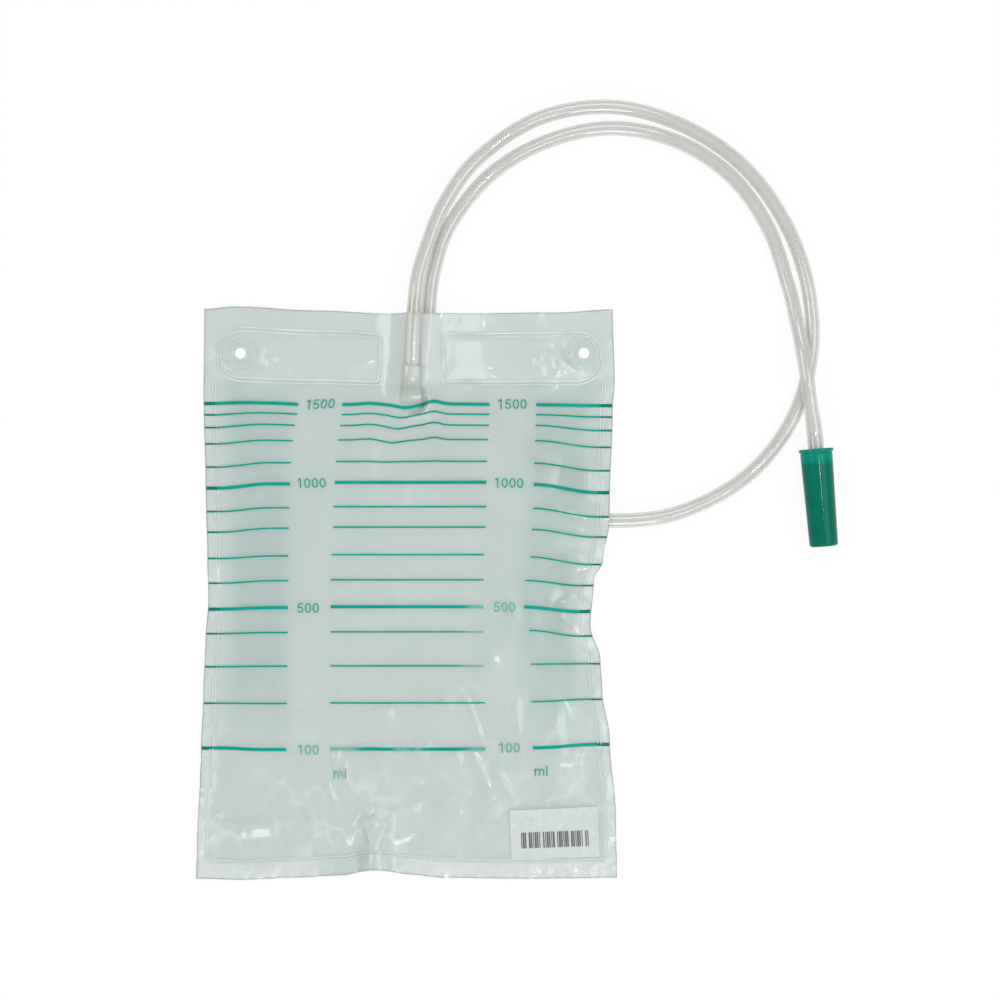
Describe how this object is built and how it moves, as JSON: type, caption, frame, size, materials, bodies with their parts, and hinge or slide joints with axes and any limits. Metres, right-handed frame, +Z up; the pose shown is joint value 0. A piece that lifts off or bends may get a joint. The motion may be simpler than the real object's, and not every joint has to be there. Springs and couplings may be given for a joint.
{
  "type": "urine drainage bag",
  "caption": "Flat welded drainage bag with hanging holes, a looped inlet tube, a non-return valve and a capped stepped connector.",
  "frame": {"origin": "under the middle of the bag, on the surface that it lies on", "axes": "+X across the bag, +Y towards the hanging holes, +Z up out of the printed front film"},
  "size_m": [0.2975, 0.3624, 0.016],
  "materials": {
    "front_film": "soft translucent film, glossy, with teal print",
    "back_film": "soft translucent film, glossy",
    "inlet_tube": "soft frosted clear tube",
    "non_return_valve": "thin clear film",
    "catheter_connector": "hard natural plastic, satin",
    "connector_cap": "dark green translucent plastic, glossy",
    "label": "bare white film sticker"
  },
  "bodies": {
    "bag": {"front_film": "front_film", "back_film": "back_film", "inlet_tube": "inlet_tube", "non_return_valve": "non_return_valve", "catheter_connector": "catheter_connector", "label": "label"},
    "cap": {"connector_cap": "connector_cap"}
  },
  "joints": [
    {"name": "cap_pull", "type": "slide", "parent": "bag", "child": "cap", "axis": [0.0819, -0.9966, 0], "range_m": [0, 0.05]}
  ]
}
